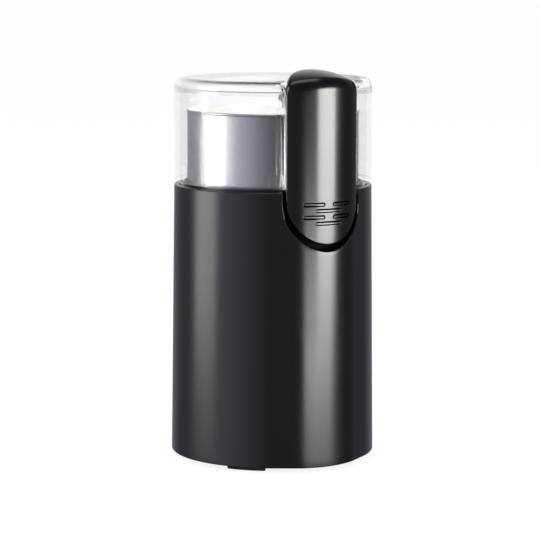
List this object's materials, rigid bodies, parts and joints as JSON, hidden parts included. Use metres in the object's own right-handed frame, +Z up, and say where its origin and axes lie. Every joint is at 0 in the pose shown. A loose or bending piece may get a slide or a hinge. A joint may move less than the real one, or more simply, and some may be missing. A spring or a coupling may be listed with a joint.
{
  "type": "electric spice grinder",
  "caption": "Small electric grinder: black teardrop housing, clear lift-off lid with a hinged press paddle, steel bowl with a spinning blade, motor and switch inside.",
  "frame": {"origin": "centre of the round part of the housing, on the surface the feet stand on", "axes": "+Z up along the motor shaft, -Y towards the nose and the press paddle, +X to the right for a viewer who faces the paddle"},
  "size_m": [0.095, 0.1002, 0.1819],
  "materials": {
    "black_plastic": "satin black moulding",
    "paddle_plastic": "gloss black moulding",
    "clear_plastic": "clear polished moulding",
    "bowl_steel": "satin polished stainless steel",
    "blade_steel": "polished stainless steel",
    "shaft_steel": "ground steel",
    "steel_small": "zinc plated",
    "plated_steel": "zinc plated sheet",
    "core_steel": "varnished laminations",
    "spring_steel": "drawn wire",
    "copper_wire": "enamelled copper wire",
    "copper_bars": "turned copper",
    "sintered_bronze": "oiled sintered bronze",
    "brass_sheet": "pressed sheet",
    "carbon": "pressed carbon",
    "black_rubber": "matt rubber",
    "grey_seal": "matt silicone",
    "cream_plastic": "matt moulding",
    "dark_plastic": "matt moulding",
    "red_plastic": "matt moulding",
    "wire_pvc": "smooth sleeve"
  },
  "bodies": {
    "housing": {"body_shell": "black_plastic", "base_plate": "black_plastic", "rubber_feet": "black_rubber", "base_screws": "steel_small", "cord_gland": "black_rubber", "terminal_block": "cream_plastic", "lead_wires": "wire_pvc", "thermal_fuse": "plated_steel", "deck_ring": "black_plastic", "paddle_pocket": "black_plastic", "steel_bowl": "bowl_steel", "bowl_screws": "steel_small", "shaft_seal": "grey_seal", "motor_shelf": "dark_plastic", "shelf_screws": "steel_small", "motor_mounts": "black_rubber", "mount_studs": "steel_small", "upper_bracket": "plated_steel", "lower_bracket": "plated_steel", "motor_bolts": "steel_small", "stator_core": "core_steel", "field_coils": "copper_wire", "upper_bearing": "sintered_bronze", "lower_bearing": "sintered_bronze", "lower_damper": "black_rubber", "brush_holders": "brass_sheet", "carbon_brushes": "carbon", "brush_springs": "spring_steel", "switch_body": "dark_plastic", "switch_screws": "steel_small"},
    "lid": {"lid_shell": "clear_plastic", "paddle_pin": "shaft_steel"},
    "press_paddle": {"paddle": "paddle_plastic", "paddle_spring": "spring_steel"},
    "plunger": {"switch_plunger": "black_plastic", "plunger_clip": "spring_steel"},
    "button": {"switch_button": "red_plastic"},
    "rotor": {"motor_shaft": "shaft_steel", "armature_core": "core_steel", "armature_winding": "copper_wire", "commutator": "copper_bars", "cooling_fan": "cream_plastic", "blade_hub": "shaft_steel", "blade": "blade_steel", "blade_nut": "shaft_steel"}
  },
  "joints": [
    {"name": "lid_lift", "type": "slide", "parent": "housing", "child": "lid", "axis": [0, 0, 1], "range_m": [0, 0.09]},
    {"name": "paddle_press", "type": "hinge", "parent": "lid", "child": "press_paddle", "pos_m": [0, -0.036, 0.17], "axis": [1, 0, 0], "range_deg": [0, 2.4], "stiffness_Nm_per_rad": 0.6, "springref_deg": -2.86},
    {"name": "plunger_push", "type": "slide", "parent": "housing", "child": "plunger", "axis": [0, 1, 0], "range_m": [0, 0.00271]},
    {"name": "button_push", "type": "slide", "parent": "housing", "child": "button", "axis": [0, 1, 0], "range_m": [0, 0.00271]},
    {"name": "rotor_spin", "type": "hinge", "parent": "housing", "child": "rotor", "pos_m": [0, 0, 0.06], "axis": [0, 0, 1], "continuous": true}
  ],
  "couplings": [
    {"joint": "plunger_push", "follows": "paddle_press", "m_per_rad": 0.06224},
    {"joint": "button_push", "follows": "paddle_press", "m_per_rad": 0.06224}
  ]
}
